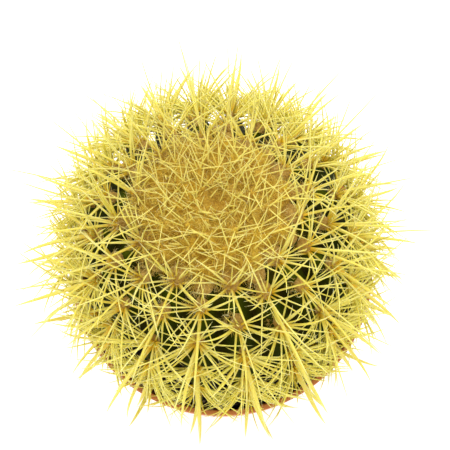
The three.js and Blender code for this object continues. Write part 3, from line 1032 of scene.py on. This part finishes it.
# a tapered spine as a run of points from under the felt to its tip, with a slight bow of its own
def spineRun(course, halfWidth, key, shape, fullness=1.7):
    steps, sway = spineShapes[shape]
    root, middle, tip = course
    first = (middle - root) / np.linalg.norm(middle - root)
    across = np.cross(tip - root, (0.3, 0.2, 1.0))
    across /= np.linalg.norm(across) + 1e-9
    shift = jitter(key + 700, sway) * np.linalg.norm(tip - root)
    points, widths, shares = [root - first * spineValues["rootDepth"]], [halfWidth * 1.05], [0]
    for step in range(steps + 1):
        t = step / steps
        curve = root * (1 - t) * (1 - 2 * t) + middle * 4 * t * (1 - t) + tip * t * (2 * t - 1)
        points.append(curve + across * shift * 4 * t * (1 - t))
        taper = (1 - t ** fullness) ** 0.9
        widths.append(halfWidth * (0.05 + 0.95 * taper) if step < steps else halfWidth * 0.03)
        shares.append(max(t, 0.001))
    return points, widths, shares


def spineTree():
    tree, given, end = newGeometryTree("draw_spines", {
        "Flatness": "Float", "Sides": "Int", "Material": "Material",
    })
    runs = addNode(tree, "GeometryNodeMeshToCurve", {"Mesh": given["Geometry"]})
    turned = addNode(tree, "GeometryNodeSetCurveNormal", {"Curve": runs}, mode="Z_UP")
    spines = sweepRing(tree, turned, given["Sides"], given["Flatness"], readAttribute(tree, "halfWidth"))
    smooth = addNode(tree, "GeometryNodeSetShadeSmooth", {"Geometry": spines})
    return closeTree(tree, given, end, smooth)


def drawSpines(name, runs, tree, material, sides, flatness, node):
    points, edges, halfWidths, along, reach, shade = [], [], [], [], [], []
    for line, widths, shares, tone in runs:
        first = len(points)
        points += [tuple(point) for point in line]
        edges += [(first + i, first + i + 1) for i in range(len(line) - 1)]
        halfWidths += [width * mm for width in widths]
        along += shares
        length = float(np.linalg.norm(line[-1] - line[0]))
        reach += [t * length * mm for t in shares]
        shade += [tone] * len(line)
    lines = makeMesh("spine_lines", points, edges=edges)
    setAttributes(lines, halfWidth=halfWidths, along=along, reach=reach, shade=shade)
    growPiece(name, lines, tree, node, {
        "Flatness": flatness, "Sides": sides, "Material": material,
    })
    dropObject(lines)


# those near the crown are finer
def widthOf(share, latitude):
    v = spineValues
    nearCrown = smoothStep(latitude, *v["finerFrom"])
    if share == 1:
        return v["stoutWidth"] * (1 - v["stoutFiner"] * nearCrown)
    return v["sideWidth" if share > 0.7 else "thinWidth"] * (1 - v["sideFiner"] * nearCrown)


# the fine spines that an areole has besides its main ones, and how they grow
def finePlan(latitude):
    v = spineValues
    if latitude > v["crownFrom"]:
        return crownPlan, "crown"
    if latitude < v["lowTo"]:
        return (lowPlan if latitude > 0 else lowPlan[:5]), "fan"
    return (fanPlan if latitude < v["fanTo"] else radialPlan), "fan"


def makeSpines():
    v = spineValues
    room = SpineRoom()
    central, side, radial, crossing = [], [], [], []

    def keep(runs, course, halfWidth, key, shape):
        runs.append((*spineRun(course, halfWidth, key, shape), chance(key + 950)))

    upper = areolePlaces(90, areoleRule["lowest"])
    for areole in upper:
        grown = growSpines(areole, mainPlan, room, "main")
        room.add([course for course, share, key in grown])
        for course, share, key in grown:
            halfWidth = widthOf(share, areole[1]) * (0.95 + jitter(key + 900, 0.2))
            if share == 1:
                keep(central, course, halfWidth, key, "stout")
            else:
                keep(side, course, halfWidth, key, "side")
    lower = areolePlaces(areoleRule["lowest"], areoleRule["lastRow"])
    for areole in lower:
        for course, share, key in growSpines(areole, mainPlan[1:6], room, "low", 0.62):
            keep(radial, course, v["radialWidth"], key, "low")
    for areole in upper + lower:
        latitude = areole[1]
        shrink = 0.66 + 0.4 * smoothStep(latitude, -18, 16)
        runs = crossing if latitude > v["crownFrom"] else radial
        plan, kind = finePlan(latitude)
        for course, share, key in growSpines(areole, plan, room, kind, shrink):
            keep(runs, course, v["radialWidth"] * (1 + jitter(key + 900, 0.25)), key, "fine")
        if latitude < v["lowTo"]:
            continue
        plan = crossPlan if latitude < v["midFrom"] else midCrossPlan
        if latitude > v["crownFrom"]:
            plan = topCrossPlan
        for course, share, key in growSpines(areole, plan, room, "crossing"):
            keep(crossing, course, v["crossWidth"] * (1 + jitter(key + 900, 0.2)), key, "crossing")
    tree = spineTree()
    yellow, pale, young = [spineMaterial(name) for name in ("spine_yellow", "spine_pale", "spine_young")]
    for name, runs, material, sides, flatness in [
        ("central_spines", central, yellow, 6, 0.7), ("side_spines", side, yellow, 5, 0.8),
        ("radial_spines", radial, pale, 3, 1.0), ("crossing_spines", crossing, young, 3, 1.0),
    ]:
        drawSpines(name, runs, tree, material, sides, flatness, "cactus_body")
    return room, tree


# Felt and fibres

def woolMaterial(name, tones):
    low, high, dark = tones
    material, tree = newMaterial(name)
    fine = addMottle(tree, 1100, 0.3, 0.7, 6)
    tone = mixColour(tree, addMottle(tree, 130), low, high)
    tone = tint(tree, tone, addMottle(tree, 48, 0.4, 0.6), 0.35, woolValues["patches"])
    # darker where the fine bump below sinks: painted shade in the felt's hollows
    tone = mixColour(tree, rangeOf(tree, fine, 0.8, 0), tone, dark)
    return fillShader(material, {
        # darker on old pads and the crown's brown middle, and with painted shade in the creases of the
        # crown's felt
        "Base Color": mixColour(tree, attributeValue(tree, "age"), tone, dark),
        "Roughness": 0.95,
        "Specular IOR Level": 0.06,
        "Sheen Weight": 0.08,
        "Normal": addBump(tree, fine, 0.7, 0.5),
    })


def fibreMaterial(name, stops):
    material, tree = newMaterial(name)
    return fillShader(material, {
        "Base Color": rampColour(tree, attributeValue(tree, "shade"), stops),
        "Roughness": 0.8,
        "Specular IOR Level": 0.1,
        "Sheen Weight": 0.04,
        "Subsurface Weight": 0.4,
        "Subsurface Scale": mm,
        "Subsurface Radius": (0.8, 0.6, 0.3),
    })


# lays short curled strands over a surface, fewer and shorter where its shortness says so
def fibreTree():
    tree, given, end = newGeometryTree("scatter_fibres", {
        "Density": "Float", "Length": "Float", "Width": "Float", "Lean": "Float", "Seed": "Int",
        "Material": "Material",
    })
    fullness = minus(tree, 1.0, readAttribute(tree, "shortness"))
    spots = scatterPoints(tree, given, times(tree, given["Density"], fullness))
    arc = addNode(tree, "GeometryNodeCurveQuadraticBezier", {
        "Resolution": 2, "Start": (0, 0, -0.12), "Middle": (0.12, 0.1, 0.62), "End": (0.62, -0.12, 0.72),
    })
    share = addNode(tree, "GeometryNodeSplineParameter").outputs["Factor"]
    strand = sweepRing(tree, arc, 3, 1.0, times(tree, minus(tree, 1.15, share), given["Width"]))
    tilt = addNode(tree, "ShaderNodeCombineXYZ", {
        "X": drawNumber(tree, 0.0, given["Lean"], 22), "Y": 0.0, "Z": drawNumber(tree, -math.pi, math.pi, 21),
    })
    turn = addNode(tree, "FunctionNodeRotateRotation", {
        "Rotation": spots["Rotation"], "Rotate By": tilt,
    }, rotation_space="LOCAL")
    size = times(tree, times(tree, drawNumber(tree, 0.5, 1.25, 23), given["Length"]), fullness)
    placed = placeCopies(tree, spots["Points"], strand, turn, size)
    # strands are darker on old felt and where shade is painted into the creases of the crown's felt
    brightest = minus(tree, 1.0, times(tree, readAttribute(tree, "age"), 0.8))
    shaded = storeShade(tree, placed, times(tree, brightest, drawNumber(tree, 0.0, 1.0, 24)))
    return closeTree(tree, given, end, shaded)


def growFibres(name, source, tree, kind, material, node):
    area = sum(polygon.area for polygon in source.data.polygons)
    growPiece(name, source, tree, node, {
        "Density": kind["count"] / area, "Length": kind["length"] * mm,
        "Width": kind["width"] / kind["length"], "Lean": math.radians(kind["lean"]),
        "Seed": kind["seed"], "Material": material,
    })


# the felt over the growing point, raised over each young areole hidden in it
def crownFelt(material):
    v = woolValues
    columns, rows = v["feltGrid"]
    ways = [onCircle(1, ribAngle(i * plant["ribs"] / columns)) for i in range(columns)]

    def ring(share, heightAt):
        spots = []
        for x, y in ways:
            reach = (woolEdge(x, y) + v["edgeRoughness"] * noise.noise(Vector((x, y, 0.4)) * 9)) * share
            spots.append((reach * x, reach * y))
        return [(x, y, heightAt(x, y)) for x, y in spots]

    def under(x, y):
        return crownHeight(x, y) - 0.6

    def felt(x, y):
        rough = roughAt(x, y, 7.7, 0.34, 0.7, 2.1)
        inside = woolEdge(x, y) - math.hypot(x, y)
        return woolTop(x, y) + v["feltRoughness"] * rough * smoothStep(inside, -1, 4)

    rings = [ring(share, under) for share in (0.2, 0.4, 0.6, 0.8, 1)]
    rings += [ring(1 - (row / rows) ** 1.15, felt) for row in range(rows)]
    cap = ringsMesh("crown_felt", (0, 0, envelope(90)[1]), rings, (0, 0, felt(0, 0)))
    spots = [(vertex.co.x / mm, vertex.co.y / mm) for vertex in cap.data.vertices]
    fromMiddle = np.array([math.hypot(x, y) for x, y in spots])
    # the crown's brown middle, which the real crown has, and painted shade in the creases between the mounds,
    # darkening the felt and its strands there
    creaseShade = np.array([1 - moundAt(x, y) for x, y in spots]) * np.clip((fromMiddle - 6) / 10, 0, 1)
    age = np.maximum(np.clip(1 - fromMiddle / 9, 0, 1) * 0.6, creaseShade ** 2 * 0.75)
    setAttributes(cap, age=age, shortness=np.clip(1 - fromMiddle / 12, 0, 1) * 0.5)
    cap.data.materials.append(material)
    dress(cap, "crown_wool")
    return cap


def padTree():
    tree, given, end = newGeometryTree("seat_areoles", {"Roughness": "Float", "Material": "Material"})
    ball = addNode(tree, "GeometryNodeMeshIcoSphere", {"Radius": 1.0, "Subdivisions": 3})
    turn = addNode(tree, "FunctionNodeAxesToRotation", {
        "Primary Axis": readAttribute(tree, "facing", "FLOAT_VECTOR"),
        "Secondary Axis": readAttribute(tree, "crownward", "FLOAT_VECTOR"),
    }, primary_axis="Z", secondary_axis="X")
    spots = addNode(tree, "GeometryNodeMeshToPoints", {"Mesh": given["Geometry"]})
    placed = placeCopies(tree, spots, ball, turn, readAttribute(tree, "size", "FLOAT_VECTOR"))
    whole = addNode(tree, "GeometryNodeRealizeInstances", {"Geometry": placed})
    rise = times(tree, minus(tree, noiseAt(tree, 620.0, 4.0), 0.5), given["Roughness"])
    moved = moveAlong(tree, whole, addNode(tree, "GeometryNodeInputNormal"), rise)
    smooth = addNode(tree, "GeometryNodeSetShadeSmooth", {"Geometry": moved})
    return closeTree(tree, given, end, smooth)


# an oval pad of felt at each areole, small on the old ribs, large and fluffy near the crown, where it sits
# on the crown's side of the spines; buds stand at the edge of the crown's felt, on the even ribs
def areolePads(material):
    seeds = {rib: rib + 640 for rib in range(0, plant["ribs"], 2)}
    buds = [(rib, areoleRule["highest"][1] + jitter(seed, 1.2), seed) for rib, seed in seeds.items()]
    points, facing, crownwards, sizes, ages = [], [], [], [], []
    for rib, latitude, seed in areolePlaces(90, areoleRule["lastRow"]) + buds:
        crownward, _, normal, centre = areoleFrame(rib, latitude)
        young, youngest = smoothStep(latitude, 18, 50), smoothStep(latitude, 52, 58)
        length, width, height = [
            old + more * young + most * youngest for old, more, most in woolValues["padSizes"]]
        sizes.append(((length + jitter(seed + 300, 0.4)) * mm, width * mm, height * mm))
        points.append(centre + normal * (0.5 * young - 0.5) + crownward * (1.5 * young + youngest))
        facing.append(normal)
        crownwards.append(crownward)
        ages.append(0.75 - 0.66 * young)
    carrier = makeMesh("areole_spots", points)
    shortness = [1.15 * age for age in ages]
    setAttributes(carrier, facing=facing, crownward=crownwards, size=sizes, age=ages, shortness=shortness)
    pads = growPiece("areole_felt", carrier, padTree(), "cactus_body", {
        "Roughness": woolValues["padRoughness"] * mm, "Material": material,
    })
    dropObject(carrier)
    return pads


# Young spines on the crown

def feltRoot(radius, angle, sunk):
    x, y = onCircle(radius, angle)
    return np.array([x, y, woolTop(x, y) - sunk])


# a straight course, and whether it is clear from a short way over its root
def leaningCourse(root, lean, turn, length, hidden):
    direction = np.array([*onCircle(sinDeg(lean), turn), cosDeg(lean)])
    middle, tip = root + direction * length * 0.5, root + direction * length
    return (root, middle, tip), courseIsClear((root + (tip - root) * hidden / length, middle, tip))


# the young spines that stand singly over the felt
def singleCourses(room):
    v = woolValues
    shortest, outer, longest = v["singleLengths"]
    leastLean, moreLean = v["singleLeans"]
    apart = spineValues["spacing"] * v["singleRoom"]
    grown = SpineRoom(room.starts, room.ends)
    goldenAngle = 180 * (3 - math.sqrt(5))
    courses = []
    for i in range(v["crownSpines"]):
        share = math.sqrt((i + 0.5) / v["crownSpines"])
        angle = i * goldenAngle
        root = feltRoot((woolEdge(*onCircle(1, angle)) - 1.5) * share, angle, 0.6)
        length = shortest + outer * share + longest * share * chance(i + 8000) ** 3
        for tried in range(spineValues["tries"]):
            lean = leastLean + chance(i + 8200 + 500 * tried) * moreLean
            course, isFree = leaningCourse(root, lean, 360 * chance(i + 8400 + 500 * tried), length, 4)
            if isFree and grown.around(course) > apart:
                courses.append(course)
                grown.add([course])
                break
    return courses


# the finer ones that spread from each young areole under a mound of the felt, the outer ones mostly outward
def tuftCourses():
    v = woolValues
    shortest, longer = v["tuftLengths"]
    leastLean, outerLean, strayed = v["tuftLeans"]
    courses = []
    for ring in range(4):
        reach = v["moundRing"] - ring * v["moundSpacing"] / 2
        outer = reach / v["moundRing"]
        for rib in range(ring % 2, plant["ribs"], 2):
            for n in range(v["spinesPerTuft"]):
                key = 12000 + (ring * plant["ribs"] + rib) * 20 + n
                angle = ribAngle(rib) + jitter(key, 4)
                root = feltRoot(reach + jitter(key + 2000, 1.2), angle, 0.8)
                turn = angle + (180 - 65 * outer) * (2 * (n + chance(key + 4000)) / v["spinesPerTuft"] - 1)
                length = (shortest + longer * outer) * (0.8 + 0.9 * chance(key + 6000) ** 2)
                length *= 1 + 0.25 * cosDeg(turn - angle)  # longest outward
                for tried in range(spineValues["tries"]):
                    lean = leastLean + outerLean * outer + strayed * chance(key + 8000 + 500 * tried)
                    course, isFree = leaningCourse(root, lean, turn + 8 * tried, length, 5)
                    if isFree:
                        courses.append(course)
                        break
    return courses


def makeCrownSpines(room, tree):
    v = spineValues
    runs = []
    for courses, halfWidth, start in [
        (singleCourses(room), v["singleWidth"], 9000), (tuftCourses(), v["tuftWidth"], 9500),
    ]:
        for key, course in enumerate(courses, start):
            width = halfWidth * (1 + jitter(key, 0.25))
            runs.append((*spineRun(course, width, key, "young", 1.5), chance(key + 300)))
    drawSpines("crown_spines", runs, tree, spineMaterial("spine_straw"), 3, 1.0, "crown_wool")


def makeWool():
    v = woolValues
    fibres = fibreTree()
    cap = crownFelt(woolMaterial("crown_wool", v["crownTones"]))
    strands = fibreMaterial("wool_fibre", v["crownStrands"])
    growFibres("crown_fibres", cap, fibres, v["crownFibres"], strands, "crown_wool")
    pads = areolePads(woolMaterial("areole_wool", v["areoleTones"]))
    strands = fibreMaterial("tuft_fibre", v["areoleStrands"])
    growFibres("areole_fibres", pads, fibres, v["areoleFibres"], strands, "cactus_body")


# The scene

cameraView = {
    "target": (1.4, 17.1),  # where the axis of view meets the rim's plane
    "distance": 308.5,
    "elevation": 69.79,
    "focalPixels": 650,
    "framePixels": 450,
    "sensor": 36,
}

studio = {
    "floorHalf": 3000,
    "floorTone": (0.96, 0.965, 0.97, 1),
    "floorGlow": 0.28,
    "skyTone": (1, 1, 0.99, 1),
    "skyStrength": 1.16,
    "softboxAim": (0, 0, 0.12),
    "softboxes": {  # place, size, power and colour
        "key": ((-0.08, 0.36, 1.05), 0.4, 3.4, (1, 1, 1)),
        "rim": ((0.1, 0.9, 0.5), 0.5, 2.2, (0.68, 0.84, 1)),
    },
}


def makeCamera():
    c = cameraView
    lens = bpy.data.cameras.new("camera")
    lens.sensor_width = c["sensor"]
    lens.lens = c["sensor"] * c["focalPixels"] / c["framePixels"]
    lens.clip_start, lens.clip_end = 0.01, 20
    camera = addObject("camera", lens)
    back = Vector((0, -cosDeg(c["elevation"]), sinDeg(c["elevation"])))
    aim = Vector((*c["target"], rimHeight))
    camera.location = (aim + back * c["distance"]) * mm
    camera.rotation_euler = (math.radians(90 - c["elevation"]), 0, 0)
    bpy.context.scene.camera = camera


def makeFloor():
    half = studio["floorHalf"]
    corners = [(-half, -half, 0), (half, -half, 0), (half, half, 0), (-half, half, 0)]
    floor = makeMesh("floor", corners, [(0, 1, 2, 3)])
    material, _ = newMaterial("pale_floor")
    floor.data.materials.append(fillShader(material, {
        "Base Color": studio["floorTone"], "Roughness": 0.9,
        "Emission Color": (1, 1, 1, 1), "Emission Strength": studio["floorGlow"],
    }))


def makeLight():
    world = bpy.data.worlds.new("studio")
    world.use_nodes = True
    sky = world.node_tree.nodes["Background"]
    fillSockets(world.node_tree, sky, {"Color": studio["skyTone"], "Strength": studio["skyStrength"]})
    bpy.context.scene.world = world
    bpy.context.scene.view_settings.view_transform = "Standard"
    for name, (place, size, power, colour) in studio["softboxes"].items():
        light = bpy.data.lights.new(name, "AREA")
        light.shape = "DISK"
        light.size = size
        light.energy = power
        light.color = colour
        box = addObject(name, light)
        box.location = place
        aim = Vector(studio["softboxAim"]) - Vector(place)
        box.rotation_euler = aim.to_track_quat("-Z", "Y").to_euler()


def main():
    makeCamera()
    makePot()
    makeGrains(makeSoil())
    makeSkin()
    room, tree = makeSpines()
    makeWool()
    makeCrownSpines(room, tree)
    makeFloor()
    makeLight()


main()
